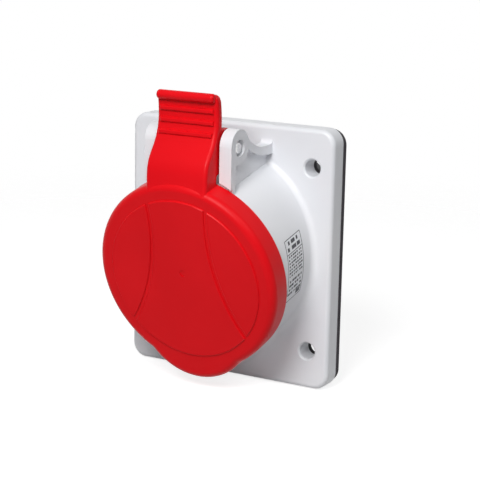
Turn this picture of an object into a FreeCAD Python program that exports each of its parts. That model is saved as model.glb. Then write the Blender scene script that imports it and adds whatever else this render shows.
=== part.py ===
import FreeCAD, Part
import math
import os

os.makedirs("parts", exist_ok=True)

# Angled panel socket for a heavy three-phase plug: a square flange, a stubby barrel that leans
# down towards the user, and a sprung lid hinged above the mouth. Millimetres. The origin is the
# centre of the four fixing holes on the face of the panel: +X right, +Y into the panel, +Z up.

V = FreeCAD.Vector
PLACE = FreeCAD.Placement
TURN = FreeCAD.Rotation

# Flange and its gasket. Heights are measured from the panel outwards.
FIXING_PITCH = 60.0
FIXING_HOLE_R = 2.75
FIXING_LEAD_IN = 0.5
FIXING_BOSS_T = 2.25
FLANGE_SIDE_MARGIN = 7.5
FLANGE_END_MARGIN = 12.5
FLANGE_CORNER_R = 5.0
FLANGE_EDGE_R = 1.5
FLANGE_DEPTH = 6.6
FLANGE_PLATE_T = 2.6
FLANGE_WALL_T = 2.4
RIB_T = 1.6
RIB_SHY = 0.6
GASKET_T = 2.0
GASKET_SIDE_PROUD = 0.1
GASKET_END_SHY = 0.6
GASKET_BARREL_CLEAR = 1.3
FLANGE_W = FIXING_PITCH + 2 * FLANGE_SIDE_MARGIN
FLANGE_H = FIXING_PITCH + 2 * FLANGE_END_MARGIN
FLANGE_FRONT = GASKET_T + FLANGE_DEPTH
FLANGE_CEILING = FLANGE_FRONT - FLANGE_PLATE_T
FIXING_BOSS_R = FIXING_HOLE_R + FIXING_BOSS_T

# Barrel. L is a length along its leaning axis, zero where the axis leaves the flange's face.
LEAN_DEG = 13.0
AXIS_Z = 1.7
BORE_R = 28.6
PLUG_DEPTH = 36.2
LIP_WALL_T = 1.4
LIP_RISE = 2.9
RIM_STEP = 1.2
BARREL_RIM_L = 19.3
BARREL_FOOT_R = 2.0
TAIL_WALL_T = 1.8
TAIL_STEP_SINK = 4.8
COLLAR_DEPTH = 5.0
LEAN = math.radians(LEAN_DEG)
LIP_R = BORE_R + LIP_WALL_T
LIP_L = BARREL_RIM_L + LIP_RISE
BARREL_R = LIP_R + RIM_STEP
BORE_FLOOR_L = LIP_L - PLUG_DEPTH
TAIL_R = BORE_R + TAIL_WALL_T
TAIL_FROM_L = -BARREL_R * math.tan(LEAN) - TAIL_STEP_SINK
TAIL_L = BORE_FLOOR_L - COLLAR_DEPTH

# Keyway for the plug's key at six o'clock, and the swelling of the wall round it.
KEY_HALF_W = 5.5
KEY_DEPTH = 5.0
KEY_LEN = 18.2
KEY_CORNER_R = 1.5
SWELL_WALL_T = 2.8
SWELL_R = 20.4
SWELL_FLOOR_T = 2.0
KEY_BOTTOM = BORE_R + KEY_DEPTH
KEY_FLOOR_L = LIP_L - KEY_LEN
SWELL_DROP = KEY_BOTTOM + SWELL_WALL_T - SWELL_R

# Lid: a shallow cap over the lip, with a nose over the keyway.
LID_GAP = 0.3
LID_RUN = 0.6
LID_WALL_T = 1.4
LID_PLATE_T = 2.6
LID_EDGE_R = 2.4
SEAL_T = 3.2
SEAL_INSET = 1.3
SEAL_WIDTH = 3.0
SEAL_RIB_T = 1.2
SEAL_RIB_H = 2.2
SEAL_CLEAR = 0.2
NOSE_INSET = 0.65
NOSE_R = 20.0
LATCH_HALF_W = 6.5
LATCH_H = 1.8
LATCH_REACH = 1.9
LATCH_LEAD = 0.6
LATCH_SLOPE = 1.0
LATCH_ROOT = 0.5
LID_R = LIP_R + LID_RUN + LID_WALL_T
LID_REAR_L = BARREL_RIM_L + LID_GAP
LID_FLOOR_L = LIP_L + SEAL_T
LID_FRONT_L = LID_FLOOR_L + LID_PLATE_T
NOSE_DROP = SWELL_DROP + SWELL_R - NOSE_INSET - NOSE_R
SEAL_IN_R = BORE_R - SEAL_INSET
SEAL_OUT_R = SEAL_IN_R + SEAL_WIDTH

# Three low pads on the lid's face, parted by two curved channels.
PAD_MARGIN = 5.2
PAD_H = 0.5
PAD_EDGE = 0.25
CHANNEL_R = 59.9
CHANNEL_W = 1.2
CHANNEL_WAIST = 10.1
CHANNEL_V = 17.0
GATE_R = 1.1
GATE_DEPTH = 0.25
GATE_V = 2.3
PAD_R = LID_R - PAD_MARGIN
CHANNEL_OFF_X = CHANNEL_WAIST + CHANNEL_R


def lean_point(l, v):
    """Distance out from the flange and height of a point l along and v above the axis."""
    d = l * math.cos(LEAN) + v * math.sin(LEAN)
    z = AXIS_Z - l * math.sin(LEAN) + v * math.cos(LEAN)
    return d, z


# Hinge over the mouth. D is a distance out from the flange's face; the cheeks' front stands
# flush with the lid's rear edge.
PIN_R = 2.0
PIN_RISE = 9.35
PIN_PRESS = 0.02
PIN_RUN = 0.05
PIN_SINK_R = 2.7
PIN_SINK = 1.5
PIN_SHY = 0.3
PIN_DOME_R = 0.9
EYE_R = 5.3
EYE_RISE = 0.55
EYE_JOIN = 118.0
EYE_BACK = 190.0
EYE_LOW = 253.0
CHEEK_CLEAR = 0.6
CHEEK_T = 4.2
CHEEK_RECESS = 1.9
CHEEK_BLEND_R = 1.6
CHEEK_WALL_SINK = 3.2
STILE_W = 2.8
SHELF_T = 2.7
LEVER_HALF_W = 10.9
CHEEK_FRONT_D, LID_TOP_Z = lean_point(LID_REAR_L, LID_R)
PIN_D = CHEEK_FRONT_D - EYE_R
PIN_Z = LID_TOP_Z + PIN_RISE
CHEEK_IN_X = LEVER_HALF_W + CHEEK_CLEAR
CHEEK_OUT_X = CHEEK_IN_X + CHEEK_T
CHEEK_WEB_X = CHEEK_OUT_X - CHEEK_RECESS
PIN_END_X = CHEEK_OUT_X - PIN_SHY
# The cheek's swept top: share of the way out to the pin, height against the pin.
CHEEK_SWEEP = [(0.08, -1.3), (0.35, -1.35), (0.57, -0.05), (0.73, 1.95)]

# Thumb lever, moulded with the lid. Its face is given by points against the pin.
LEVER_FACE = [(12.35, -12.3), (12.25, -8.5), (11.3, -4.3), (8.9, -0.5), (6.9, 3.1), (5.85, 7.0),
              (5.8, 11.5), (6.2, 15.4)]
LEVER_BACK = [(4.0, 15.1), (3.4, 11.7), (3.2, 9.0)]
LEVER_WALL_T = 2.0
LEVER_FRONT_T = 2.3
LEVER_CORNER_R = 2.8
LEVER_EDGE_R = 1.1
LEVER_TOP_RISE = 16.9
LEVER_TIP_CROWN = 1.1
LEVER_RIM_RISE = 1.1
LEVER_ROOT_SINK = 4.0
LEVER_UNDERCUT = 9.0
HOLLOW_RISE = 9.3
HOLLOW_CROWN = 1.5
HOLLOW_BACK = 12.0
HOLLOW_DROP = 18.0
TIP_ROLL_R = 1.5
TIP_ROLL_D = 6.5
GRIP_FIRST = 4.1
GRIP_PITCH = 3.65
GRIP_COUNT = 3
GRIP_H = 1.5
GRIP_RISE = 0.7
GRIP_MARGIN = 1.3
KNUCKLE_R = 5.8
KNUCKLE_CROWN = 55.0
KNUCKLE_HEEL = 180.0
KNUCKLE_SOLE = 255.0
KNUCKLE_BOSS_R = 3.5
KNUCKLE_BOSS_LEN = 2.5

# Torsion spring round the pin.
SPRING_WIRE_R = 0.45
SPRING_SLACK = 0.35
SPRING_TURNS = 4
SPRING_PITCH = 1.15
SPRING_LEVER_LEG = 5.0
SPRING_BARREL_LEG = 7.2
SPRING_LEG_DROP = 45.0
SPRING_COIL_R = PIN_R + SPRING_SLACK + SPRING_WIRE_R

# Contact carrier. Its contacts stand on one circle; phase and neutral are alike, earth is
# larger and lies at six o'clock.
PLUG_GAP = 4.4
CARRIER_RUN = 0.4
CARRIER_SINK = 5.2
CARRIER_FRONT_T = 2.8
CARRIER_SEAT_T = 3.0
CARRIER_SEAT_SHY = 0.2
CARRIER_EDGE = 0.7
CARRIER_WALL_T = 1.4
WEB_T = 2.0
CONTACT_STEP = 72.0
EARTH_ANGLE = -90.0
ENTRY_CLEAR = 0.35
ENTRY_LEAD = 0.7
CARRIER_SCREW_R = 1.45
CARRIER_SCREW_HEAD_R = 2.8
CARRIER_SCREW_HEAD_H = 2.1
CARRIER_SCREW_CLEAR = 0.25
CARRIER_SCREW_TIP_GAP = 1.0
CARRIER_PILOT_OVER = 0.5
CARRIER_SCREW_ANGLES = (90.0, 210.0, 330.0)
CARRIER_SCREW_LEN = CARRIER_SEAT_T + COLLAR_DEPTH - CARRIER_SCREW_TIP_GAP
CARRIER_R = BORE_R - PLUG_GAP
COLLAR_BORE_R = CARRIER_R + CARRIER_RUN
CARRIER_FACE_L = LIP_L - CARRIER_SINK
CARRIER_BACK_L = TAIL_L - CARRIER_SEAT_T
CARRIER_SEAT_R = TAIL_R - CARRIER_SEAT_SHY
CARRIER_SCREW_PITCH_R = (COLLAR_BORE_R + TAIL_R) / 2.0
CHAMBER_FRONT_L = CARRIER_FACE_L - CARRIER_FRONT_T

# Contacts: bore, tube and collar radii, and the width of the terminal block.
LINE_BORE_R = 2.55
EARTH_BORE_R = 3.55
TUBE_WALL_T = 1.55
COLLAR_STEP = 0.55
COLLAR_LEN = 12.0
BLOCK_MARGIN = 0.15
BLOCK_LEN = 10.0
BLOCK_CHAMFER = 0.6
CHAMBER_CLEAR = 0.05
SLEEVE_SHY = 0.2
SLEEVE_LEAD = 0.4
SLEEVE_BORE_DEPTH = 37.0
SLIT_W = 0.8
SLIT_LEN = 15.0
RING_FROM_FRONT = 4.5
RING_W = 1.2
RING_SINK = 0.4
RING_T = 0.9
WIRE_HOLE_R = 2.1
WIRE_HOLE_DEPTH = 8.0
CLAMP_FROM_BACK = 5.2
CLAMP_R = 1.95
CLAMP_HEAD_R = 3.3
CLAMP_HEAD_H = 1.7
CLAMP_STAND = 0.6
CLAMP_TIP_GAP = 0.2
THREAD_CLEAR = 0.01
EARTH_CHAMBER_R = EARTH_BORE_R + TUBE_WALL_T + COLLAR_STEP + CHAMBER_CLEAR
CONTACT_PITCH_R = CARRIER_R - CARRIER_WALL_T - EARTH_CHAMBER_R
SLEEVE_FRONT_L = CHAMBER_FRONT_L - SLEEVE_SHY
CLAMP_L = CARRIER_BACK_L - CLAMP_FROM_BACK

# Terminal housing behind the carrier.
HUB_R = 11.4
FENCE_T = 2.0
FENCE_CLEAR = 0.7
END_GAP = 0.8
END_PLATE_T = 2.2
WIRE_ENTRY_R = 2.9
WIRE_ENTRY_LEAD = 1.1
CENTRE_SCREW_R = 1.95
CENTRE_SCREW_GRIP = 8.0
CENTRE_SCREW_CLEAR = 0.15
CENTRE_HEAD_R = 3.6
CENTRE_HEAD_H = 2.6
CENTRE_HEAD_SINK = 4.5
CENTRE_HEAD_CLEAR = 0.6
FENCE_R = CARRIER_SCREW_PITCH_R - CARRIER_SCREW_HEAD_R - FENCE_CLEAR
TERMINAL_END_L = CARRIER_BACK_L - BLOCK_LEN - END_GAP - END_PLATE_T


# Drawing helpers.

def rounded_outline(w, h, r):
    """Face of a rounded rectangle centred on the axis."""
    x, y = w / 2.0, h / 2.0
    c = r * (1.0 - math.sqrt(0.5))
    corners = []
    for sx, sy in ((1, 1), (1, -1), (-1, -1), (-1, 1)):
        side_end = V(sx * x, sy * (y - r), 0)
        middle = V(sx * (x - c), sy * (y - c), 0)
        top_end = V(sx * (x - r), sy * y, 0)
        corners.append((top_end, middle, side_end) if sx == sy else (side_end, middle, top_end))
    edges = []
    for i, corner in enumerate(corners):
        edges.append(Part.Arc(*corner).toShape())
        edges.append(Part.makeLine(corner[2], corners[(i + 1) % 4][0]))
    return Part.Face(Part.Wire(edges))


def slab(w, h, r, z0, z1):
    plate = rounded_outline(w, h, r).extrude(V(0, 0, z1 - z0))
    plate.translate(V(0, 0, z0))
    return plate


def disc(r, z0, z1, x=0.0, y=0.0):
    return Part.makeCylinder(r, z1 - z0, V(x, y, z0))


def cone(r0, r1, z0, z1, x=0.0, y=0.0):
    return Part.makeCone(r0, r1, z1 - z0, V(x, y, z0))


def block(x0, x1, y0, y1, z0, z1):
    return Part.makeBox(x1 - x0, y1 - y0, z1 - z0, V(x0, y0, z0))


def turned(points):
    """Solid of revolution about z from (radius, height) points."""
    pts = [V(r, 0, z) for r, z in points]
    face = Part.Face(Part.makePolygon(pts + [pts[0]]))
    return face.revolve(V(0, 0, 0), V(0, 0, 1), 360)


def placed(shape, frame):
    out = shape.copy()
    out.Placement = frame.multiply(out.Placement)
    return out


def on_panel(shape):
    """Stand a shape drawn as x across, y up, z outwards upright on the panel."""
    return placed(shape, PLACE(V(0, 0, 0), TURN(V(1, 0, 0), 90)))


def on_barrel(shape):
    """Set a shape drawn as x across, y up, z outwards on the leaning axis."""
    return placed(shape, PLACE(V(0, -FLANGE_FRONT, AXIS_Z), TURN(V(1, 0, 0), 90 + LEAN_DEG)))


def spun(shape, angle, x=0.0, y=0.0, z=0.0):
    return placed(shape, PLACE(V(x, y, z), TURN(V(0, 0, 1), angle)))


def side(d, z, x=0.0):
    """Point at distance d out from the flange's face and height z."""
    return V(x, -(FLANGE_FRONT + d), z)


def by_pin(d, z):
    return side(PIN_D + d, PIN_Z + z)


def round_pin(r, angle):
    """Point at a radius and an angle about the pin; zero is straight out, 90 is up."""
    a = math.radians(angle)
    return by_pin(r * math.cos(a), r * math.sin(a))


def by_lean(l, v):
    return side(*lean_point(l, v))


def across(wire_edges, x0, x1):
    """Extrude a side view, drawn at x = 0, from x0 to x1."""
    face = Part.Face(Part.Wire(wire_edges))
    face.translate(V(x0, 0, 0))
    return face.extrude(V(x1 - x0, 0, 0))


def poly(points):
    return [Part.makeLine(a, b) for a, b in zip(points, points[1:])]


def curve(points, start=None, end=None):
    spline = Part.BSplineCurve()
    if start is None:
        spline.interpolate(points)
    else:
        spline.interpolate(Points=points, InitialTangent=start, FinalTangent=end)
    return spline.toShape()


def pin_cylinder(r, x0, x1):
    return Part.makeCylinder(r, x1 - x0, side(PIN_D, PIN_Z, x0), V(1, 0, 0))


def polar(r, angle):
    a = math.radians(angle)
    return r * math.cos(a), r * math.sin(a)


def flat_at(edge, axis, value):
    """True for an edge that lies in the plane axis = value."""
    low = getattr(edge.BoundBox, axis + "Min")
    high = getattr(edge.BoundBox, axis + "Max")
    return abs(low - value) < 0.02 and abs(high - value) < 0.02


def creases(shape, length):
    """Inward corners that run along z where the big circle meets the small one."""
    found = []
    for e in shape.Edges:
        box = e.BoundBox
        upright = box.XLength < 0.01 and box.YLength < 0.01
        if upright and abs(box.ZLength - length) < 0.01 and box.YMax < -SWELL_DROP and abs(box.XMin) > 5:
            found.append(e)
    return found


# Flange moulding: a shallow tray, open to the panel, with a boss and ribs at each fixing hole.

def fixing_points():
    h = FIXING_PITCH / 2.0
    return [(h, h), (-h, h), (-h, -h), (h, -h)]


def flange_tray():
    body = slab(FLANGE_W, FLANGE_H, FLANGE_CORNER_R, GASKET_T, FLANGE_FRONT)
    body = body.makeFillet(FLANGE_EDGE_R, [e for e in body.Edges if flat_at(e, "Z", FLANGE_FRONT)])
    inner_w = FLANGE_W - 2 * FLANGE_WALL_T
    inner_h = FLANGE_H - 2 * FLANGE_WALL_T
    inner_r = FLANGE_CORNER_R - FLANGE_WALL_T
    return body.cut(slab(inner_w, inner_h, inner_r, GASKET_T - 1, FLANGE_CEILING))


def flange_bosses():
    """At each fixing hole a boss, a rib to either wall and one towards the barrel."""
    low, high, h = GASKET_T + RIB_SHY, FLANGE_CEILING + 0.5, RIB_T / 2.0
    to_side = FLANGE_SIDE_MARGIN - FLANGE_WALL_T / 2.0
    to_end = FLANGE_END_MARGIN - FLANGE_WALL_T / 2.0
    parts = []
    for x, y in fixing_points():
        parts.append(disc(FIXING_BOSS_R, GASKET_T, high, x, y))
        parts.append(spun(block(0, to_side, -h, h, low, high), 0 if x > 0 else 180, x, y))
        parts.append(spun(block(0, to_end, -h, h, low, high), 90 if y > 0 else -90, x, y))
        inward = math.degrees(math.atan2(AXIS_Z - y, -x))
        reach = math.hypot(x, y - AXIS_Z) - BARREL_R
        parts.append(spun(block(0, reach, -h, h, low, high), inward, x, y))
    return parts


def fixing_holes():
    top, lead, r = FLANGE_FRONT, FIXING_LEAD_IN, FIXING_HOLE_R
    tools = []
    for x, y in fixing_points():
        tools.append(disc(r, -1, top + 1, x, y))
        tools.append(cone(r, r + lead + 0.1, top - lead, top + 0.1, x, y))
    return tools


def barrel_outside():
    """Tail behind the flange, barrel in front of it and the swelling below."""
    main = disc(BARREL_R, TAIL_FROM_L, BARREL_RIM_L)
    swell_back = KEY_FLOOR_L - SWELL_FLOOR_T
    swell = disc(SWELL_R, swell_back, BARREL_RIM_L, 0, -SWELL_DROP)
    body = main.fuse(swell).removeSplitter()
    body = body.makeFillet(SWELL_WALL_T, creases(body, BARREL_RIM_L - swell_back))
    return body.fuse(disc(TAIL_R, TAIL_L, TAIL_FROM_L)).removeSplitter()


def keyway():
    key = block(-KEY_HALF_W, KEY_HALF_W, -KEY_BOTTOM, -BORE_R / 2.0, KEY_FLOOR_L, LIP_L + 2)
    low = [e for e in key.Edges if flat_at(e, "Y", -KEY_BOTTOM) and e.BoundBox.ZLength > KEY_LEN]
    return key.makeFillet(KEY_CORNER_R, low)


def sweep_points(drop):
    return [side(share * PIN_D, PIN_Z + rise - drop) for share, rise in CHEEK_SWEEP]


def cheek_outline():
    """Side view of a hinge cheek: swept top, round eye, upright front."""
    lift = V(0, 0, EYE_RISE)
    join, crown, nose = (round_pin(EYE_R, a).add(lift) for a in (EYE_JOIN, EYE_JOIN / 2.0, 0))
    turn = math.radians(EYE_JOIN)
    along = V(0, -math.sin(turn), -math.cos(turn))
    top = sweep_points(0.0)
    in_wall = BARREL_R - CHEEK_WALL_SINK - SWELL_WALL_T
    low_front = by_lean(BARREL_RIM_L + 2.0, in_wall)
    low_back = by_lean(-BARREL_R * math.tan(LEAN), in_wall)
    foot = side(0, top[0].z + CHEEK_BLEND_R)
    level = side(CHEEK_BLEND_R, top[0].z)
    short = CHEEK_BLEND_R * (1.0 - math.sqrt(0.5))
    top_back = side(-1.0, foot.z)
    edges = [Part.makeLine(top_back, foot), Part.Arc(foot, side(short, top[0].z + short), level).toShape()]
    edges += [Part.makeLine(level, top[0]), curve(top + [join], V(0, -1, 0), along)]
    edges.append(Part.Arc(join, crown, nose).toShape())
    return edges + poly([nose, V(0, nose.y, low_front.z), low_front, low_back, top_back])


def cheek_recess():
    """Side view of the sunk panel under the swept top and behind the front stile."""
    start = side(-1.5, PIN_Z + CHEEK_SWEEP[0][1] - SHELF_T)
    eye_back, eye_under, eye_low = (round_pin(EYE_R, a) for a in
                                    (EYE_BACK, (EYE_BACK + EYE_LOW) / 2.0, EYE_LOW))
    shelf = curve([start] + sweep_points(SHELF_T)[1:3] + [eye_back])
    stile_top = side(CHEEK_FRONT_D - STILE_W, eye_low.z - 0.3)
    stile_low = V(0, stile_top.y, AXIS_Z)
    under_eye = Part.Arc(eye_back, eye_under, eye_low).toShape()
    return [shelf, under_eye] + poly([eye_low, stile_top, stile_low, V(0, start.y, AXIS_Z), start])


def cheek():
    web, outer = CHEEK_WEB_X, CHEEK_OUT_X
    plate = across(cheek_outline(), CHEEK_IN_X, web)
    border = across(cheek_outline(), web, outer).cut(across(cheek_recess(), web - 1, outer + 1))
    body = plate.fuse(border)
    body = body.cut(pin_cylinder(PIN_R + PIN_PRESS, CHEEK_IN_X - 1, outer + 1))
    return body.cut(pin_cylinder(PIN_SINK_R, outer - PIN_SINK, outer + 1))


def housing_shell():
    """Tray and barrel as one, with a soft foot where the barrel leaves the flange."""
    body = on_panel(flange_tray()).fuse(on_barrel(barrel_outside())).removeSplitter()
    foot = []
    for e in body.Edges:
        middle = e.BoundBox.Center
        inside = abs(middle.x) < BARREL_R + 1 and abs(middle.z) < FLANGE_H / 2.0 - 2 * FLANGE_EDGE_R
        if flat_at(e, "Y", -FLANGE_FRONT) and inside and e.Curve.TypeId != "Part::GeomLine":
            foot.append(e)
    return body.makeFillet(BARREL_FOOT_R, foot)


def housing():
    body = housing_shell().fuse([on_panel(p) for p in flange_bosses()])
    right = cheek()
    body = body.fuse([right, right.mirror(V(0, 0, 0), V(1, 0, 0))])
    clear = LID_R + LID_GAP + LID_RUN
    body = body.cut(on_barrel(disc(clear, BARREL_RIM_L, LID_FRONT_L)))
    body = body.fuse(on_barrel(disc(LIP_R, BARREL_RIM_L - 1, LIP_L)))
    tools = [disc(BORE_R, BORE_FLOOR_L, LID_FRONT_L), disc(COLLAR_BORE_R, TAIL_L - 1, BORE_FLOOR_L + 1)]
    tools.append(keyway())
    for a in CARRIER_SCREW_ANGLES:
        x, y = polar(CARRIER_SCREW_PITCH_R, a)
        tip = CARRIER_BACK_L + CARRIER_SCREW_LEN + CARRIER_PILOT_OVER
        tools.append(disc(CARRIER_SCREW_R, TAIL_L - 1, tip, x, y))
    body = body.cut([on_barrel(t) for t in tools])
    return body.cut([on_panel(t) for t in fixing_holes()])


def flange_gasket():
    """Sheet punched with the flange's own hole size, and drawn in from the flange's two ends."""
    w, h = FLANGE_W + 2 * GASKET_SIDE_PROUD, FLANGE_H - 2 * GASKET_END_SHY
    sheet = slab(w, h, FLANGE_CORNER_R, 0, GASKET_T)
    centre = AXIS_Z + FLANGE_FRONT * math.tan(LEAN)
    sheet = sheet.cut(disc(BARREL_R + GASKET_BARREL_CLEAR, -1, GASKET_T + 1, 0, centre))
    holes = [disc(FIXING_HOLE_R, -1, GASKET_T + 1, x, y) for x, y in fixing_points()]
    swell = disc(SWELL_R + GASKET_BARREL_CLEAR, KEY_FLOOR_L - SWELL_FLOOR_T, BARREL_RIM_L, 0, -SWELL_DROP)
    return on_panel(sheet.cut(holes)).cut(on_barrel(swell))


# Lid moulding: cap, pads, and the lever that runs up between the cheeks.

def cap_solid(inset, l0, l1):
    body = disc(LID_R - inset, l0, l1).fuse(disc(NOSE_R - inset, l0, l1, 0, -NOSE_DROP))
    body = body.removeSplitter()
    return body.makeFillet(SWELL_WALL_T + inset, creases(body, l1 - l0))


def lid_pads():
    low, top = LID_FRONT_L - 0.2, LID_FRONT_L + PAD_H
    half = CHANNEL_W / 2.0

    def sweep(r, sign):
        return disc(r, low - 1, top + 1, sign * CHANNEL_OFF_X, CHANNEL_V)

    middle = disc(PAD_R, low, top).cut([sweep(CHANNEL_R + half, -1), sweep(CHANNEL_R + half, 1)])
    sides = [disc(PAD_R, low, top).common(sweep(CHANNEL_R - half, s)) for s in (-1, 1)]
    out = []
    for pad in [middle] + sides:
        out.append(pad.makeChamfer(PAD_EDGE, [e for e in pad.Edges if flat_at(e, "Z", top)]))
    out[0] = out[0].cut(disc(GATE_R, top - GATE_DEPTH, top + 1, 0, GATE_V))
    return out


def lever_face():
    """Side view of the lever's face, from the lid's front plane up to the tip."""
    start = by_lean(LID_FRONT_L, LID_R - 1.4 * LID_EDGE_R)
    return [start] + [by_pin(d, z) for d, z in LEVER_FACE]


def lever_face_y(z):
    """Depth of the lever's face at a height, between its two nearest points."""
    pts = lever_face()
    for a, b in zip(pts, pts[1:]):
        if a.z <= z <= b.z:
            return a.y + (b.y - a.y) * (z - a.z) / (b.z - a.z)
    return pts[-1].y


def lever_outline():
    face = lever_face()
    back = [by_pin(d, z) for d, z in LEVER_BACK]
    crown, heel, sole = (round_pin(KNUCKLE_R, a) for a in (KNUCKLE_CROWN, KNUCKLE_HEEL, KNUCKLE_SOLE))
    over = round_pin(KNUCKLE_R, (KNUCKLE_CROWN + KNUCKLE_HEEL) / 2.0)
    under = round_pin(KNUCKLE_R, (KNUCKLE_HEEL + KNUCKLE_SOLE) / 2.0)
    tip_d = (LEVER_FACE[-1][0] + LEVER_BACK[0][0]) / 2.0
    tip_mid = by_pin(tip_d, LEVER_FACE[-1][1] + LEVER_TIP_CROWN)
    edges = [curve(face), Part.Arc(face[-1], tip_mid, back[0]).toShape(), curve(back + [crown])]
    edges += [Part.Arc(crown, over, heel).toShape(), Part.Arc(heel, under, sole).toShape()]
    over_rim = by_lean(LID_REAR_L + LID_GAP, LID_R + LEVER_RIM_RISE)
    in_lid = by_lean(LID_REAR_L + 2.0, LID_R - LEVER_ROOT_SINK)
    return edges + poly([sole, over_rim, in_lid, face[0]])


def inset_points(points, t):
    """Move each point of an open side view by t towards the panel, square to the line."""
    out = []
    for i, p in enumerate(points):
        a = points[max(i - 1, 0)]
        b = points[min(i + 1, len(points) - 1)]
        way = b.sub(a)
        way.normalize()
        out.append(p.add(V(0, way.z * t, -way.y * t)))
    return out


def lever_hollow():
    """Side view of the space behind the lever's front wall, open to the back."""
    inner = inset_points(lever_face(), LEVER_FRONT_T)[:6]
    rest = [inner[-1], by_pin(HOLLOW_CROWN, HOLLOW_RISE), by_pin(-HOLLOW_BACK, HOLLOW_RISE)]
    rest += [by_pin(-HOLLOW_BACK, -HOLLOW_DROP), V(0, inner[0].y, PIN_Z - HOLLOW_DROP), inner[0]]
    return [curve(inner)] + poly(rest)


def lever():
    half = LEVER_HALF_W
    body = across(lever_outline(), -half, half)
    top_z = PIN_Z + LEVER_TOP_RISE
    face_y = by_pin(*LEVER_FACE[0]).y
    corners = []
    for e in body.Edges:
        box = e.BoundBox
        if box.XLength < 0.01 and box.YMin < face_y and box.ZMax > top_z - 4:
            corners.append(e)
    body = body.makeFillet(LEVER_EDGE_R, corners)
    tall = 2 * (top_z - AXIS_Z)
    front_view = on_panel(slab(2 * half, tall, LEVER_CORNER_R, 0, 3 * PIN_D))
    front_view.translate(V(0, 0, AXIS_Z))
    body = body.common(front_view)
    inside = half - LEVER_WALL_T
    body = body.cut(across(lever_hollow(), -inside, inside))
    boss = pin_cylinder(KNUCKLE_BOSS_R, inside - KNUCKLE_BOSS_LEN, inside + LEVER_WALL_T / 2.0)
    return body.fuse([boss, boss.mirror(V(0, 0, 0), V(1, 0, 0))])


def grips():
    """Rolled lip along the lever's top and ribs under it."""
    roll_z = LEVER_TOP_RISE - TIP_ROLL_R
    half = LEVER_HALF_W - GRIP_MARGIN / 2.0
    start = side(PIN_D + TIP_ROLL_D, PIN_Z + roll_z, -half)
    roll = Part.makeCylinder(TIP_ROLL_R, 2 * half, start, V(1, 0, 0))
    ends = [e for e in roll.Edges if e.BoundBox.XLength < 0.01]
    out = [roll.makeFillet(0.6 * TIP_ROLL_R, ends)]
    half = LEVER_HALF_W - GRIP_MARGIN
    h = GRIP_H / 2.0
    for i in range(GRIP_COUNT):
        z = PIN_Z + roll_z - GRIP_FIRST - i * GRIP_PITCH
        y = lever_face_y(z)
        rib = block(-half, half, y - GRIP_RISE, y + LEVER_FRONT_T / 2.0, z - h, z + h)
        front = [e for e in rib.Edges if flat_at(e, "Y", y - GRIP_RISE)]
        out.append(rib.makeFillet(GRIP_RISE * 0.7, front))
    return out


def latch():
    """Ledge inside the nose that catches the plug's lug and keeps the plug in."""
    drop = NOSE_DROP + NOSE_R - LID_WALL_T
    low = LID_REAR_L + LID_GAP
    root, reach = -drop - LATCH_ROOT, -drop + LATCH_REACH
    pts = [V(0, root, low), V(0, reach, low + LATCH_LEAD), V(0, reach, low + LATCH_H),
           V(0, root, low + LATCH_H + LATCH_SLOPE)]
    face = Part.Face(Part.makePolygon(pts + [pts[0]]))
    face.translate(V(-LATCH_HALF_W, 0, 0))
    return face.extrude(V(2 * LATCH_HALF_W, 0, 0)).common(cap_solid(LID_WALL_T / 2.0, low, LID_FLOOR_L))


def lid():
    cap = cap_solid(0.0, LID_REAR_L, LID_FRONT_L)
    cap = cap.makeFillet(LID_EDGE_R, [e for e in cap.Edges if flat_at(e, "Z", LID_FRONT_L)])
    body = on_barrel(cap).fuse([lever()] + grips())
    hollow = cap_solid(LID_WALL_T, LID_REAR_L - 1, LID_FLOOR_L)
    behind = disc(LID_R - LID_WALL_T, LID_REAR_L - LEVER_UNDERCUT, LID_REAR_L)
    body = body.cut([on_barrel(hollow), on_barrel(behind)])
    rib_r = SEAL_IN_R - SEAL_CLEAR
    rib = disc(rib_r, LID_FLOOR_L - SEAL_RIB_H, LID_FLOOR_L + 0.3)
    rib = rib.cut(disc(rib_r - SEAL_RIB_T, LID_REAR_L, LID_FRONT_L))
    body = body.fuse([on_barrel(p) for p in [rib, latch()] + lid_pads()])
    return body.cut(pin_cylinder(PIN_R + PIN_RUN, -CHEEK_IN_X, CHEEK_IN_X))


def lid_seal():
    return on_barrel(disc(SEAL_OUT_R, LIP_L, LID_FLOOR_L).cut(disc(SEAL_IN_R, LIP_L - 1, LID_FLOOR_L + 1)))


def hinge_pin():
    pin = pin_cylinder(PIN_R, -PIN_END_X, PIN_END_X)
    return pin.makeFillet(PIN_DOME_R, [e for e in pin.Edges if e.BoundBox.XLength < 0.01])


def spring_path():
    """Leg, tilted half circles that meet square to their diameters, short arc, second leg."""
    r, rise = SPRING_COIL_R, SPRING_PITCH / 2.0
    here = V(r, 0, 0)
    edges = [Part.makeLine(V(r, SPRING_LEVER_LEG, 0), here)]
    swing = math.hypot(r, rise / 2.0)
    for i in range(2 * SPRING_TURNS):
        there = V(-here.x, 0, here.z + rise)
        middle = V(0, swing if i % 2 else -swing, here.z + rise / 2.0)
        edges.append(Part.Arc(here, middle, there).toShape())
        here = there
    half, whole = (polar(r, -SPRING_LEG_DROP * share) for share in (0.5, 1.0))
    leave = V(whole[0], whole[1], here.z)
    edges.append(Part.Arc(here, V(half[0], half[1], here.z), leave).toShape())
    way = V(whole[1], -whole[0], 0) * (SPRING_BARREL_LEG / r)
    edges.append(Part.makeLine(leave, leave.add(way)))
    return Part.Wire(edges)


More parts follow.
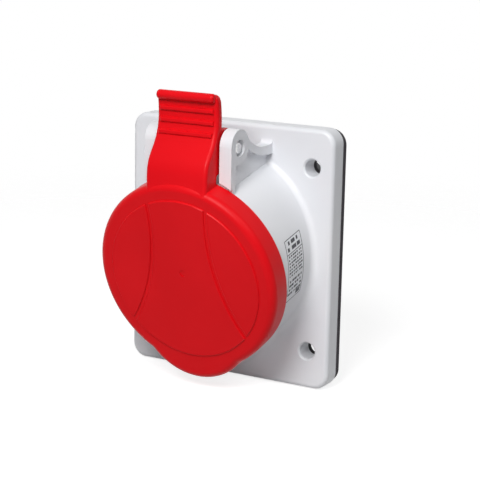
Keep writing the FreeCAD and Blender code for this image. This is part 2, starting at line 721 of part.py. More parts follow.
def lid_spring():
    """Coil round the pin; one leg bears inside the lever, the other on the barrel."""
    path = spring_path()
    start = path.OrderedVertexes[0].Point
    section = Part.Face(Part.Wire(Part.makeCircle(SPRING_WIRE_R, start, V(0, 1, 0))))
    width = SPRING_TURNS * SPRING_PITCH
    upright = TURN(V(0, -1, 0), V(0, 0, 1), V(-1, 0, 0), "ZXY")
    return placed(path.makePipe(section), PLACE(side(PIN_D, PIN_Z, width / 2.0), upright))


# Insulating insert and what it carries.

def contact_angles():
    """Name and angle of each contact, clockwise from earth as seen from the front."""
    names = ("earth", "line_1", "line_2", "line_3", "neutral")
    return [(n, EARTH_ANGLE - i * CONTACT_STEP) for i, n in enumerate(names)]


def contact_sizes(name):
    """Radii of bore, tube and collar."""
    bore = EARTH_BORE_R if name == "earth" else LINE_BORE_R
    return bore, bore + TUBE_WALL_T, bore + TUBE_WALL_T + COLLAR_STEP


def carrier_face():
    """Front plate of the insert, with a lead-in round each pin's entry."""
    e, low, face = CARRIER_EDGE, CHAMBER_FRONT_L, CARRIER_FACE_L
    plate = turned([(0, low), (CARRIER_R, low), (CARRIER_R, face - e), (CARRIER_R - e, face), (0, face)])
    tools = []
    for name, a in contact_angles():
        x, y = polar(CONTACT_PITCH_R, a)
        entry = contact_sizes(name)[0] + ENTRY_CLEAR
        tools.append(disc(entry, low - 1, face + 1, x, y))
        tools.append(cone(entry, entry + ENTRY_LEAD + 0.2, face - ENTRY_LEAD, face + 0.2, x, y))
    return on_barrel(plate.cut(tools))


def core_out():
    """Ring-shaped space between hub and wall, parted by a web between each two contacts."""
    reach = contact_sizes("line_1")[2] + CHAMBER_CLEAR
    low, high, h = CARRIER_BACK_L - 1, CHAMBER_FRONT_L + 1, WEB_T / 2.0
    ring = disc(CONTACT_PITCH_R + reach, low, high).cut(disc(CONTACT_PITCH_R - reach, low, high))
    web = block(0, CARRIER_R, -h, h, low - 1, high + 1)
    return ring.cut([spun(web, a + CONTACT_STEP / 2) for _, a in contact_angles()])


def contact_carrier():
    """Hub, five webs and wall on a seat ring; the contacts stand between them from behind."""
    back, front = CARRIER_BACK_L, CHAMBER_FRONT_L
    body = turned([(0, back), (CARRIER_SEAT_R, back), (CARRIER_SEAT_R, TAIL_L), (CARRIER_R, TAIL_L),
                   (CARRIER_R, front), (0, front)])
    earth = polar(CONTACT_PITCH_R, EARTH_ANGLE)
    tools = [core_out(), disc(EARTH_CHAMBER_R, back - 1, front + 1, *earth),
             disc(CENTRE_SCREW_R, back - 1, back + CENTRE_SCREW_GRIP + 1)]
    for a in CARRIER_SCREW_ANGLES:
        x, y = polar(CARRIER_SCREW_PITCH_R, a)
        tools.append(disc(CARRIER_SCREW_R + CARRIER_SCREW_CLEAR, back - 1, TAIL_L + 1, x, y))
    return on_barrel(body.cut(tools))


def contact(name, angle):
    """Turned and slit sleeve with a square terminal block at its back."""
    bore, tube, collar = contact_sizes(name)
    front, back = SLEEVE_FRONT_L, CARRIER_BACK_L
    collar_l = back + COLLAR_LEN
    ring_l = front - RING_FROM_FRONT
    body = turned([(0, back), (collar, back), (collar, collar_l), (tube, collar_l + COLLAR_STEP),
                   (tube, ring_l), (tube - RING_SINK, ring_l), (tube - RING_SINK, ring_l + RING_W),
                   (tube, ring_l + RING_W), (tube, front - SLEEVE_LEAD), (tube - SLEEVE_LEAD, front),
                   (0, front)])
    h = collar - BLOCK_MARGIN
    head = block(-h, h, -h, h, back - BLOCK_LEN, back)
    long_edges = [e for e in head.Edges if e.BoundBox.ZLength > BLOCK_LEN - 0.1]
    body = body.fuse(head.makeChamfer(BLOCK_CHAMFER, long_edges))
    tools = [disc(bore, front - SLEEVE_BORE_DEPTH, front + 1)]
    reach, slit, floor = collar + 1, SLIT_W / 2.0, front - SLIT_LEN
    tools.append(block(-slit, slit, -reach, reach, floor, front + 1))
    tools.append(block(-reach, reach, -slit, slit, floor, front + 1))
    end = back - BLOCK_LEN
    tools.append(disc(WIRE_HOLE_R, end - 1, end + WIRE_HOLE_DEPTH))
    tools.append(Part.makeCylinder(CLAMP_R + THREAD_CLEAR, h + 1, V(0, 0, CLAMP_L), V(1, 0, 0)))
    return on_barrel(spun(body.cut(tools), angle, *polar(CONTACT_PITCH_R, angle)))


def spring_ring(name, angle):
    """Open ring that presses the sleeve's four fingers inwards."""
    inner = contact_sizes(name)[1] - RING_SINK
    back = SLEEVE_FRONT_L - RING_FROM_FRONT
    front = back + RING_W
    ring = disc(inner + RING_T, back, front).cut(disc(inner, back - 1, front + 1))
    ring = ring.cut(block(0, 2 * inner, -SLIT_W, SLIT_W, back - 1, front + 1))
    return on_barrel(spun(ring, angle + 45, *polar(CONTACT_PITCH_R, angle)))


def pan_screw(head_r, head_h, shank_r, length):
    """Slotted pan-head screw: underside of the head at zero, shank upwards along z."""
    edge = head_h / 3.0
    lead = shank_r / 4.0
    solid = turned([(0, -head_h), (head_r - edge, -head_h), (head_r, edge - head_h), (head_r, 0),
                    (shank_r, 0), (shank_r, length - lead), (shank_r - lead, length), (0, length)])
    slot = head_r / 7.0
    return solid.cut(block(-2 * head_r, 2 * head_r, -slot, slot, -2 * head_h, -head_h / 2.0))


def terminal_screw(name, angle):
    """Clamp screw of one terminal, backed off as the socket is delivered."""
    block_top = contact_sizes(name)[2] - BLOCK_MARGIN
    seat = CONTACT_PITCH_R + block_top + CLAMP_STAND
    tip = CONTACT_PITCH_R + WIRE_HOLE_R + CLAMP_TIP_GAP
    screw = pan_screw(CLAMP_HEAD_R, CLAMP_HEAD_H, CLAMP_R, seat - tip)
    screw = placed(screw, PLACE(V(seat, 0, CLAMP_L), TURN(V(0, 1, 0), -90)))
    return on_barrel(spun(screw, angle))


def terminal_housing():
    """Hub, fences between the terminals and an end plate with the wire entries."""
    front, end = CARRIER_BACK_L, TERMINAL_END_L
    body = disc(FENCE_R, end, end + END_PLATE_T).fuse(disc(HUB_R, end, front))
    h = FENCE_T / 2.0
    fences = []
    tools = [disc(CENTRE_SCREW_R + CENTRE_SCREW_CLEAR, end - 1, front + 1)]
    tools.append(disc(CENTRE_HEAD_R + CENTRE_HEAD_CLEAR, end - 1, end + CENTRE_HEAD_SINK))
    for name, a in contact_angles():
        fences.append(spun(block(0, FENCE_R - 0.1, -h, h, end, front), a + CONTACT_STEP / 2))
        x, y = polar(CONTACT_PITCH_R, a)
        r, lead = WIRE_ENTRY_R, WIRE_ENTRY_LEAD
        tools.append(disc(r, end - 1, end + END_PLATE_T + 1, x, y))
        tools.append(cone(r + lead, r - 0.1, end - 0.1, end + lead, x, y))
    return on_barrel(body.fuse(fences).cut(tools))


def terminal_housing_screw():
    seat = TERMINAL_END_L + CENTRE_HEAD_SINK
    length = CARRIER_BACK_L - seat + CENTRE_SCREW_GRIP
    screw = pan_screw(CENTRE_HEAD_R, CENTRE_HEAD_H, CENTRE_SCREW_R - THREAD_CLEAR, length)
    return on_barrel(spun(screw, 30, 0, 0, seat))


def carrier_screws():
    screw = pan_screw(CARRIER_SCREW_HEAD_R, CARRIER_SCREW_HEAD_H, CARRIER_SCREW_R - THREAD_CLEAR,
                      CARRIER_SCREW_LEN)
    turns = [(a, polar(CARRIER_SCREW_PITCH_R, a)) for a in CARRIER_SCREW_ANGLES]
    return Part.makeCompound([on_barrel(spun(screw, a + 20, x, y, CARRIER_BACK_L)) for a, (x, y) in turns])


def write(shape, name):
    shape.exportStep("parts/" + name + ".step")


write(housing(), "housing")
write(flange_gasket(), "flange_gasket")
write(lid(), "lid")
write(lid_seal(), "lid_seal")
write(hinge_pin(), "hinge_pin")
write(lid_spring(), "lid_spring")
write(carrier_face(), "carrier_face")
write(contact_carrier(), "contact_carrier")
write(terminal_housing(), "terminal_housing")
write(terminal_housing_screw(), "terminal_housing_screw")
write(carrier_screws(), "carrier_screws")
for contact_name, contact_angle in contact_angles():
    write(contact(contact_name, contact_angle), contact_name + "_contact")
    write(spring_ring(contact_name, contact_angle), contact_name + "_spring_ring")
line_screws = [terminal_screw(n, a) for n, a in contact_angles() if n != "earth"]
write(Part.makeCompound(line_screws), "line_terminal_screws")
write(terminal_screw("earth", EARTH_ANGLE), "earth_terminal_screw")
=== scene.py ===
import bmesh
import bpy
import math
from mathutils import Matrix, Vector


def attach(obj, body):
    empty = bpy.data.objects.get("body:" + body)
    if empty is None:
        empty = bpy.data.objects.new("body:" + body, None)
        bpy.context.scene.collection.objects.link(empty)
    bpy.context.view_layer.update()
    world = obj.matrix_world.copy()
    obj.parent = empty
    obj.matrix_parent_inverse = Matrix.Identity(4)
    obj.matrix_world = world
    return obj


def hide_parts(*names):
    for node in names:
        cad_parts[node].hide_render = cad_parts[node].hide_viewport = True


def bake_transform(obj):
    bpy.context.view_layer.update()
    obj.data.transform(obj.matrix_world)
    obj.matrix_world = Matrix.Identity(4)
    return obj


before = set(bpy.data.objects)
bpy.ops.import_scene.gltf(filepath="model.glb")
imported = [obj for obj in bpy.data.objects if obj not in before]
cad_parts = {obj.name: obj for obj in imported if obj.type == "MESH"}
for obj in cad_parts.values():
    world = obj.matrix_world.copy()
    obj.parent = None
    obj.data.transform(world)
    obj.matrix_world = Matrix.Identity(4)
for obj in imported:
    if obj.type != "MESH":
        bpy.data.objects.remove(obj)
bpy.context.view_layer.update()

MM = 0.001

# Housing: square flange, leaning barrel and hinge cheeks in one light grey moulding.
# Glass-filled polyamide, injection moulded, with a fine satin grain that is a little
# smoother where the mould was polished, and a faint clouding of its colour.


class Field:
    """A shader socket that can be used in arithmetic."""

    def __init__(self, maker, socket):
        self.maker = maker
        self.socket = socket

    def _maths(self, operation, first, second):
        return self.maker.node("ShaderNodeMath", {"operation": operation}, {0: first, 1: second})

    def __add__(self, other):
        return self._maths("ADD", self, other)

    def __radd__(self, other):
        return self._maths("ADD", other, self)

    def __sub__(self, other):
        return self._maths("SUBTRACT", self, other)

    def __rsub__(self, other):
        return self._maths("SUBTRACT", other, self)

    def __mul__(self, other):
        return self._maths("MULTIPLY", self, other)

    def __rmul__(self, other):
        return self._maths("MULTIPLY", other, self)

    def between(self, low, high):
        """0 at low and under, 1 at high and over, smooth between."""
        settings = {"interpolation_type": "SMOOTHSTEP"}
        return self.maker.node("ShaderNodeMapRange", settings, {0: self, 1: low, 2: high})


class Shading:
    """A shader tree whose nodes are added by one method."""

    def __init__(self, tree):
        self.tree = tree

    def node(self, kind, settings=None, inputs=None, output=0):
        made = self.tree.nodes.new(kind)
        for key, value in (settings or {}).items():
            setattr(made, key, value)
        for key, value in (inputs or {}).items():
            self.feed(made.inputs[key], value)
        return Field(self, made.outputs[output])

    def feed(self, socket, value):
        if isinstance(value, Field):
            self.tree.links.new(value.socket, socket)
        else:
            socket.default_value = value


class Finish(Shading):
    """A material of the object: its constants, and patterns on the object's own coordinates."""

    def __init__(self, name, slot_colour, **constants):
        self.material = bpy.data.materials.new(name)
        self.material.use_nodes = True
        super().__init__(self.material.node_tree)
        self.shader = self.tree.nodes["Principled BSDF"]
        self.material.diffuse_color = (*slot_colour, 1.0)
        self.shader.inputs["Base Color"].default_value = (*slot_colour, 1.0)
        for socket, value in constants.items():
            self.shader.inputs[socket.replace("_", " ")].default_value = value
        self.place = self.node("ShaderNodeTexCoord", output="Object")

    def noise(self, per_metre, detail=2.0, roughness=0.5):
        values = {"Vector": self.place, "Scale": per_metre, "Detail": detail,
                  "Roughness": roughness}
        return self.node("ShaderNodeTexNoise", None, values)

    def tint(self, factor, low, high):
        """Colour that runs from low to high as the factor goes from 0 to 1."""
        values = {0: factor, 6: (*low, 1.0), 7: (*high, 1.0)}
        return self.node("ShaderNodeMix", {"data_type": "RGBA"}, values, output=2)

    def bump(self, height, depth, strength=1.0, under=None):
        values = {"Height": height, "Distance": depth, "Strength": strength}
        if under is not None:
            values["Normal"] = under
        return self.node("ShaderNodeBump", None, values)

    def surface(self, **links):
        for socket, value in links.items():
            self.feed(self.shader.inputs[socket.replace("_", " ")], value)
        return self.material


def wear(node_name, material):
    """Give a CAD node's object one material in all its slots."""
    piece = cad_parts[node_name]
    if not piece.material_slots:
        piece.data.materials.append(material)
    for place in piece.material_slots:
        place.material = material


def moulded_grey():
    grey, shade, light = (0.775, 0.785, 0.815), (0.745, 0.758, 0.792), (0.79, 0.797, 0.822)
    finish = Finish("moulded_grey", grey, Roughness=0.36, IOR=1.5, Specular_IOR_Level=0.5)
    cloud = finish.noise(per_metre=42.0, detail=3.0)
    grain = finish.noise(per_metre=3800.0)
    flow = finish.noise(per_metre=160.0)
    colour = finish.tint(cloud.between(0.3, 0.75), shade, light)
    rough = 0.31 + flow * 0.08 + grain * 0.05
    skin = finish.bump(grain, depth=0.02 * MM, strength=0.5)
    skin = finish.bump(flow, depth=0.04 * MM, strength=0.35, under=skin)
    return finish.surface(Base_Color=colour, Roughness=rough, Normal=skin)


wear("housing", moulded_grey())

# Rating print: a thin frame with a header and rows of small marks, pad-printed in dark ink
# straight on the barrel's right side. The marks are plain bars.

FLANGE_FACE_Y = -8.6 * MM
LEAN = math.radians(13.0)
AXIS_HEIGHT = 1.7 * MM
BARREL_R = 31.2 * MM
PRINT_BACK, PRINT_FRONT = 6.4 * MM, 16.1 * MM
PRINT_LOW, PRINT_HIGH = -8.4 * MM, 11.0 * MM
PRINT_HEADER = 6.6 * MM
PRINT_LINE = 0.22 * MM
INK_T = 0.04 * MM
INK_SUNK = 0.02 * MM
PRINT_MARGIN = 1.0 * MM
# Rows, words in a row, pitch of the rows, height of a mark, foot of the lowest row, seed.
SMALL_PRINT = (7, 7, 1.0 * MM, 0.5 * MM, -0.2 * MM, 4)
MIDDLE_PRINT = (4, 5, 1.35 * MM, 0.7 * MM, -6.0 * MM, 7)
BOLD_PRINT = (2, 3, 1.85 * MM, 1.15 * MM, 7.9 * MM, 9)
PRINT_BLOCK = ((2.6 * MM, 1.3 * MM), (8.6 * MM, -7.1 * MM))
# A mark's length as a share of its pitch, and how much of its slack it may stray.
MARK_SHARE = (0.3, 0.95)
MARK_STRAY = 0.4
MARK_STEPS, LINE_STEPS = 3, 25


def print_ink():
    black, rubbed = (0.045, 0.045, 0.055), (0.22, 0.22, 0.24)
    finish = Finish("print_ink", black, Roughness=0.5)
    worn = finish.noise(per_metre=1500.0, detail=3.0, roughness=0.7)
    colour = finish.tint(worn.between(0.5, 0.85), black, rubbed)
    return finish.surface(Base_Color=colour, Roughness=0.42 + worn * 0.15)


class Stream:
    """Geometry node tree whose nodes are added by one method and joined by name or index."""

    def __init__(self, name, **inputs):
        self.tree = bpy.data.node_groups.new(name, "GeometryNodeTree")
        face = self.tree.interface
        face.new_socket("Geometry", in_out="INPUT", socket_type="NodeSocketGeometry")
        for key, kind in inputs.items():
            face.new_socket(key.replace("_", " "), in_out="INPUT", socket_type="NodeSocket" + kind)
        face.new_socket("Geometry", in_out="OUTPUT", socket_type="NodeSocketGeometry")
        self.given = self.tree.nodes.new("NodeGroupInput").outputs
        self.result = self.tree.nodes.new("NodeGroupOutput").inputs

    def node(self, kind, settings=None, inputs=None, output=0):
        made = self.tree.nodes.new(kind)
        for key, value in (settings or {}).items():
            setattr(made, key, value)
        for key, value in (inputs or {}).items():
            if isinstance(value, bpy.types.NodeSocket):
                self.tree.links.new(value, made.inputs[key])
            else:
                made.inputs[key].default_value = value
        return made.outputs[output]

    def maths(self, operation, first, second=0.0):
        return self.node("ShaderNodeMath", {"operation": operation}, {0: first, 1: second})

    def vector(self, x, y=0.0, z=0.0):
        return self.node("ShaderNodeCombineXYZ", None, {"X": x, "Y": y, "Z": z})

    def drawn(self, low, high, seed):
        """A seeded random number from low to high for each point."""
        values = {2: low, 3: high, "Seed": seed}
        return self.node("FunctionNodeRandomValue", {"data_type": "FLOAT"}, values, output=1)

    def finish(self, geometry, material):
        """Real geometry in one material, ready to leave the tree."""
        real = self.node("GeometryNodeRealizeInstances", None, {"Geometry": geometry})
        values = {"Geometry": real, "Material": material}
        self.tree.links.new(self.node("GeometryNodeSetMaterial", None, values), self.result[0])


def grown(name, stream, values):
    """Plain mesh object that a geometry node tree makes with these input values."""
    seed = bpy.data.objects.new(name + "_seed", bpy.data.meshes.new(name + "_seed"))
    bpy.context.collection.objects.link(seed)
    modifier = seed.modifiers.new(name, "NODES")
    modifier.node_group = stream.tree
    for item in stream.tree.interface.items_tree:
        if item.in_out == "INPUT" and item.name in values:
            modifier[item.identifier] = values[item.name]
    seen = seed.evaluated_get(bpy.context.evaluated_depsgraph_get())
    mesh = bpy.data.meshes.new_from_object(seen)
    mesh.name = name
    coat = mesh.materials[-1]
    mesh.materials.clear()
    mesh.materials.append(coat)
    seed.modifiers.remove(modifier)
    bpy.data.objects.remove(seed)
    piece = bpy.data.objects.new(name, mesh)
    bpy.context.collection.objects.link(piece)
    return piece


def on_barrel_side(stream, geometry):
    """Wrap flat geometry on the barrel: x out from the flange, y up round it, z off its skin."""
    where = stream.node("GeometryNodeInputPosition")
    parts = stream.tree.nodes.new("ShaderNodeSeparateXYZ")
    stream.tree.links.new(where, parts.inputs[0])
    out, up, lift = parts.outputs
    turn = stream.maths("DIVIDE", up, stream.given["Barrel Radius"])
    radius = stream.maths("ADD", lift, stream.given["Barrel Radius"])
    across = stream.maths("MULTIPLY", radius, stream.maths("COSINE", turn))
    above = stream.maths("MULTIPLY", radius, stream.maths("SINE", turn))
    leant = stream.maths("MULTIPLY", above, math.sin(LEAN))
    along = stream.maths("DIVIDE", stream.maths("SUBTRACT", out, leant), math.cos(LEAN))
    depth = stream.maths("SUBTRACT", FLANGE_FACE_Y, out)
    fall = stream.maths("MULTIPLY", along, math.sin(LEAN))
    rise = stream.maths("MULTIPLY", above, math.cos(LEAN))
    height = stream.maths("ADD", stream.maths("SUBTRACT", rise, fall), AXIS_HEIGHT)
    moved = {"Geometry": geometry, "Position": stream.vector(across, depth, height)}
    return stream.node("GeometryNodeSetPosition", None, moved)


def print_rows():
    """Rows of bars, each as long as a word, from a grid of points."""
    stream = Stream("print_rows", Rows="Int", Row_Pitch="Float", Words="Int", Word_Pitch="Float",
                    Row_Height="Float", Low="Vector", Seed="Int", Barrel_Radius="Float",
                    Ink="Material")
    given = stream.given
    pitch = given["Word Pitch"]
    wide = stream.maths("MULTIPLY", pitch, stream.maths("SUBTRACT", given["Words"], 1.0))
    tall = stream.maths("MULTIPLY", given["Row Pitch"],
                        stream.maths("SUBTRACT", given["Rows"], 1.0))
    grid = {"Size X": wide, "Size Y": tall, "Vertices X": given["Words"],
            "Vertices Y": given["Rows"]}
    spots = stream.node("GeometryNodeMeshGrid", None, grid)
    unit = {"Size": (1.0, 1.0, 1.0), "Vertices Y": MARK_STEPS}
    block = stream.node("GeometryNodeMeshCube", None, unit)
    share = stream.drawn(*MARK_SHARE, given["Seed"])
    length = stream.maths("MULTIPLY", share, pitch)
    slack = stream.maths("SUBTRACT", pitch, length)
    stray = stream.drawn(-MARK_STRAY, MARK_STRAY, stream.maths("ADD", given["Seed"], 1.0))
    aside = {"Geometry": spots, "Offset": stream.vector(stream.maths("MULTIPLY", slack, stray))}
    spots = stream.node("GeometryNodeSetPosition", None, aside)
    bars = {"Points": spots, "Instance": block,
            "Scale": stream.vector(length, given["Row Height"], INK_T)}
    bars = stream.node("GeometryNodeInstanceOnPoints", None, bars)
    bars = stream.node("GeometryNodeRealizeInstances", None, {"Geometry": bars})
    half = stream.vector(stream.maths("MULTIPLY", wide, 0.5), stream.maths("MULTIPLY", tall, 0.5))
    offset = stream.node("ShaderNodeVectorMath", {"operation": "ADD"}, {0: half, 1: given["Low"]})
    placed = stream.node("GeometryNodeSetPosition", None, {"Geometry": bars, "Offset": offset})
    stream.finish(on_barrel_side(stream, placed), given["Ink"])
    return stream


def print_line():
    """One bar of any size, with enough steps to bend round the barrel."""
    stream = Stream("print_line", Size="Vector", Middle="Vector", Barrel_Radius="Float",
                    Ink="Material")
    given = stream.given
    shape = {"Size": given["Size"], "Vertices Y": LINE_STEPS}
    block = stream.node("GeometryNodeMeshCube", None, shape)
    moved = {"Geometry": block, "Offset": given["Middle"]}
    placed = stream.node("GeometryNodeSetPosition", None, moved)
    stream.finish(on_barrel_side(stream, placed), given["Ink"])
    return stream


def rating_print():
    ink = print_ink()
    lift = INK_T / 2.0 - INK_SUNK
    pieces = []
    stream = print_rows()
    groups = {"small": SMALL_PRINT, "middle": MIDDLE_PRINT, "bold": BOLD_PRINT}
    for name, (rows, words, pitch, height, foot, seed) in groups.items():
        word = (PRINT_FRONT - PRINT_BACK - PRINT_MARGIN) / words
        first = PRINT_BACK + (PRINT_MARGIN + word) / 2.0
        pieces.append(grown("print_" + name, stream, {
            "Rows": rows, "Row Pitch": pitch, "Words": words, "Word Pitch": word,
            "Row Height": height, "Low": (first, foot, lift), "Seed": seed,
            "Barrel Radius": BARREL_R, "Ink": ink}))
    middle_d, middle_w = (PRINT_BACK + PRINT_FRONT) / 2.0, (PRINT_LOW + PRINT_HIGH) / 2.0
    wide, tall = PRINT_FRONT - PRINT_BACK, PRINT_HIGH - PRINT_LOW
    lines = {"frame_back": ((PRINT_LINE, tall), (PRINT_BACK, middle_w)),
             "frame_front": ((PRINT_LINE, tall), (PRINT_FRONT, middle_w)),
             "frame_low": ((wide, PRINT_LINE), (middle_d, PRINT_LOW)),
             "frame_high": ((wide, PRINT_LINE), (middle_d, PRINT_HIGH)),
             "frame_header": ((wide, PRINT_LINE), (middle_d, PRINT_HEADER)),
             "block": PRINT_BLOCK}
    stream = print_line()
    for name, (size, middle) in lines.items():
        pieces.append(grown("print_" + name, stream, {
            "Size": (*size, INK_T), "Middle": (*middle, lift), "Barrel Radius": BARREL_R,
            "Ink": ink}))
    for piece in pieces:
        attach(piece, "socket")


rating_print()

# Gasket: a flat sheet of soft black sponge rubber, punched to the flange's outline.
# Its skin is matt with fine open pores that hold a little dust.


def sponge_rubber():
    dark, dusty = (0.045, 0.04, 0.047), (0.085, 0.08, 0.09)
    finish = Finish("sponge_rubber", dark, Roughness=0.85, IOR=1.45, Specular_IOR_Level=0.3)
    pores = finish.node("ShaderNodeTexVoronoi", None, {"Vector": finish.place, "Scale": 2200.0})
    dust = finish.noise(per_metre=900.0, detail=4.0, roughness=0.7)
    colour = finish.tint(dust.between(0.45, 0.8), dark, dusty)
    skin = finish.bump(pores, depth=0.12 * MM, strength=0.7)
    return finish.surface(Base_Color=colour, Roughness=0.72 + dust * 0.25, Normal=skin)


wear("flange_gasket", sponge_rubber())

# Lid: cap, nose and thumb lever in one glossy red moulding, in a tough blend that keeps its
# colour outdoors. The skin has a faint orange peel and a fine grain from the mould.


def moulded_red():
    red, shade, light = (0.72, 0.003, 0.008), (0.69, 0.0025, 0.007), (0.75, 0.004, 0.009)
    finish = Finish("moulded_red", red, IOR=1.5, Specular_IOR_Level=0.12)
    cloud = finish.noise(per_metre=30.0, detail=3.0)
    peel = finish.noise(per_metre=420.0)
    grain = finish.noise(per_metre=5200.0)
    colour = finish.tint(cloud.between(0.3, 0.7), shade, light)
    rough = 0.3 + peel * 0.1 + grain * 0.05
    skin = finish.bump(peel, depth=0.05 * MM, strength=0.4)
    skin = finish.bump(grain, depth=0.012 * MM, strength=0.4, under=skin)
    return finish.surface(Base_Color=colour, Roughness=rough, Normal=skin)


wear("lid", moulded_red())

# Lid seal: a flat moulded ring of soft black rubber with a slight bloom on its skin. It is
# pressed into the lid and closes on the barrel's lip.


def soft_black():
    dark, bloomed = (0.02, 0.02, 0.022), (0.05, 0.05, 0.052)
    finish = Finish("soft_black", dark, Roughness=0.7, IOR=1.45)
    bloom = finish.noise(per_metre=700.0, detail=3.0)
    colour = finish.tint(bloom.between(0.4, 0.8), dark, bloomed)
    skin = finish.bump(bloom, depth=0.03 * MM, strength=0.5)
    return finish.surface(Base_Color=colour, Roughness=0.6 + bloom * 0.2, Normal=skin)


wear("lid_seal", soft_black())

# Hinge pin: a turned stainless rod with fine uneven tool marks, pushed through cheeks and lid.
# The spring and the screws have the same kind of drawn or turned surface.


def turned_metal(name, low, high, shine, per_metre):
    finish = Finish(name, high, Metallic=1.0, Roughness=shine)
    lines = finish.noise(per_metre, detail=3.0, roughness=0.6)
    stain = finish.noise(per_metre=260.0, detail=3.0)
    colour = finish.tint(stain.between(0.3, 0.75), low, high)
    skin = finish.bump(lines, depth=0.01 * MM, strength=0.5)
    return finish.surface(Base_Color=colour, Roughness=shine + lines * 0.12, Normal=skin)


bright_steel = turned_metal("bright_steel", (0.56, 0.56, 0.57), (0.7, 0.7, 0.7), 0.22, 6000.0)
wear("hinge_pin", bright_steel)

# Lid spring: a coil of drawn steel wire that shuts the lid. One leg stays on the barrel and
# the other goes with the lid, so the coil between them winds up as the lid opens.

WIRE_EDGE = math.radians(40.0)
WIRE_MERGE = 0.001 * MM
DRAWN_WIRE = ("drawn_wire", (0.36, 0.36, 0.37), (0.5, 0.5, 0.5), 0.28, 4000.0)


def winding_spring():
    wear("lid_spring", turned_metal(*DRAWN_WIRE))
    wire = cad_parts["lid_spring"].data.copy()
    shape = bmesh.new()
    shape.from_mesh(wire)
    bmesh.ops.remove_doubles(shape, verts=shape.verts, dist=WIRE_MERGE)
    shape.to_mesh(wire)
    shape.free()
    wire.shade_smooth()
    wire.set_sharp_from_angle(angle=WIRE_EDGE)
    spring = bpy.data.objects.new("winding_spring", wire)
    bpy.context.collection.objects.link(spring)
    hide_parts("lid_spring")
    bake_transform(spring)


winding_spring()

# Contact carrier, its front plate and the terminal housing: dark thermoset mouldings with a
# matt, slightly mottled skin, which hold the brass contacts apart.


def matt_thermoset(name, low, high):
    finish = Finish(name, high, Roughness=0.55, IOR=1.52)
    mottle = finish.noise(per_metre=600.0, detail=4.0, roughness=0.6)
    colour = finish.tint(mottle.between(0.3, 0.75), low, high)
    skin = finish.bump(mottle, depth=0.02 * MM, strength=0.5)
    return finish.surface(Base_Color=colour, Roughness=0.48 + mottle * 0.16, Normal=skin)


carrier_moulding = matt_thermoset("carrier_moulding", (0.03, 0.03, 0.033), (0.05, 0.05, 0.054))
terminal_moulding = matt_thermoset("terminal_moulding", (0.045, 0.045, 0.048), (0.07, 0.07, 0.073))
wear("carrier_face", carrier_moulding)
wear("contact_carrier", carrier_moulding)
wear("terminal_housing", terminal_moulding)

# Contacts: sleeves and terminal blocks turned and milled from brass rod, each with an open
# steel ring that keeps its four fingers sprung.

brass = turned_metal("turned_brass", (0.56, 0.36, 0.13), (0.7, 0.48, 0.2), 0.24, 5000.0)
ring_steel = turned_metal("ring_steel", (0.42, 0.42, 0.43), (0.55, 0.55, 0.55), 0.26, 5000.0)
for contact in ("earth", "line_1", "line_2", "line_3", "neutral"):
    wear(contact + "_contact", brass)
    wear(contact + "_spring_ring", ring_steel)

# Screws: slotted machine screws of steel, zinc-plated, with a faint yellow stain of
# passivation. They hold carrier and terminal housing, and clamp the wires.

zinc = turned_metal("zinc_plate", (0.5, 0.49, 0.45), (0.66, 0.66, 0.64), 0.3, 3500.0)
for screw in ("terminal_housing_screw", "carrier_screws", "line_terminal_screws",
              "earth_terminal_screw"):
    wear(screw, zinc)

# Floor and background: a round of white paper under the object, which fades into a white
# room. Both look white to the camera and in reflections, and the paper keeps the shadow.

PAPER_Z = -42.9 * MM
PAPER_HALF = 0.6
PAPER_FULL_R, PAPER_END_R = 0.16, 0.42
PAPER_GLOW = 0.79
ROOM_LIGHT = 0.11


def seen(shading):
    """1 for rays that show the background, 0 for those that carry its light to a surface."""
    path = shading.tree.nodes.new("ShaderNodeLightPath")
    camera, mirror, clear = (Field(shading, path.outputs["Is %s Ray" % kind])
                             for kind in ("Camera", "Glossy", "Transmission"))
    return (camera + mirror + clear).between(0.0, 1.0)


def paper():
    finish = Finish("paper_sweep", (0.5, 0.5, 0.5), Roughness=0.9, Specular_IOR_Level=0.1,
                    Emission_Strength=PAPER_GLOW)
    glow = finish.tint(seen(finish), (0.0, 0.0, 0.0), (1.0, 1.0, 1.0))
    away = finish.node("ShaderNodeVectorMath", {"operation": "LENGTH"}, {0: finish.place},
                       output="Value")
    faded = 1.0 - away.between(PAPER_FULL_R, PAPER_END_R)
    return finish.surface(Emission_Color=glow, Alpha=faded)


def sweep():
    mesh = bpy.data.meshes.new("sweep")
    corners = [(x * PAPER_HALF, y * PAPER_HALF, PAPER_Z)
               for x, y in ((-1, -1), (1, -1), (1, 1), (-1, 1))]
    mesh.from_pydata(corners, [], [(0, 1, 2, 3)])
    mesh.materials.append(paper())
    piece = bpy.data.objects.new("sweep", mesh)
    bpy.context.collection.objects.link(piece)


def white_room():
    world = bpy.data.worlds.new("studio")
    world.use_nodes = True
    shading = Shading(world.node_tree)
    sky = world.node_tree.nodes["Background"]
    sky.inputs["Color"].default_value = (1.0, 1.0, 1.0, 1.0)
    shading.feed(sky.inputs["Strength"], ROOM_LIGHT + seen(shading) * (1.0 - ROOM_LIGHT))
    bpy.context.scene.world = world


sweep()
white_room()

# Light and camera: a soft lamp close above in front, a little to the right, and a larger weak
# one high on the right. The camera stands where the photograph's stood.

HEART = Vector((0.0, FLANGE_FACE_Y, 0.0))
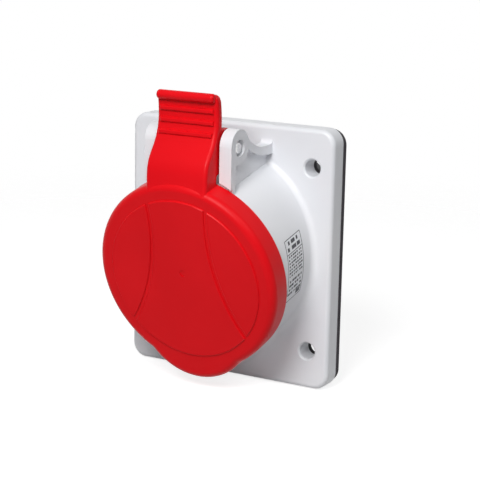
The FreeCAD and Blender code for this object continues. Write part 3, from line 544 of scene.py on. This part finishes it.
# Place, width and watts of each lamp.
LAMPS = {"key": ((0.07, -0.4, 0.33), 0.24, 2.1),
         "fill": ((0.6, -0.3, 0.7), 0.5, 1.9)}
CAMERA_PLACE = Vector((243.35, -431.47, 112.03)) * MM
CAMERA_YAW = math.radians(29.92)
CAMERA_DIP = math.radians(12.93)
CAMERA_ROLL = math.radians(1.05)
FOCAL_PX, FRAME_PX, SENSOR_MM = 1521.5, 480.0, 36.0
OFFSET_PX = (-11.93, 9.12)


def soft_lamp(name, place, size, power):
    lamp = bpy.data.lights.new(name, "AREA")
    lamp.shape = "DISK"
    lamp.size = size
    lamp.energy = power
    piece = bpy.data.objects.new(name, lamp)
    bpy.context.collection.objects.link(piece)
    turn = (HEART - Vector(place)).to_track_quat("-Z", "Y").to_matrix().to_4x4()
    piece.matrix_world = Matrix.Translation(place) @ turn


def photo_camera():
    level = math.cos(CAMERA_DIP)
    back = Vector((math.sin(CAMERA_YAW) * level, -math.cos(CAMERA_YAW) * level,
                   math.sin(CAMERA_DIP)))
    right = Vector((math.cos(CAMERA_YAW), math.sin(CAMERA_YAW), 0.0))
    up = back.cross(right)
    turned_right = math.cos(CAMERA_ROLL) * right + math.sin(CAMERA_ROLL) * up
    turned_up = math.cos(CAMERA_ROLL) * up - math.sin(CAMERA_ROLL) * right
    lens = bpy.data.cameras.new("photo_camera")
    lens.sensor_width = SENSOR_MM
    lens.lens = FOCAL_PX / FRAME_PX * SENSOR_MM
    lens.shift_x = -OFFSET_PX[0] / FRAME_PX
    lens.shift_y = OFFSET_PX[1] / FRAME_PX
    piece = bpy.data.objects.new("photo_camera", lens)
    bpy.context.collection.objects.link(piece)
    turn = Matrix((turned_right, turned_up, back)).transposed().to_4x4()
    piece.matrix_world = Matrix.Translation(CAMERA_PLACE) @ turn
    bpy.context.scene.camera = piece


for lamp_name, (lamp_place, lamp_size, lamp_power) in LAMPS.items():
    soft_lamp(lamp_name, lamp_place, lamp_size, lamp_power)
photo_camera()
bpy.context.scene.view_settings.view_transform = "Standard"
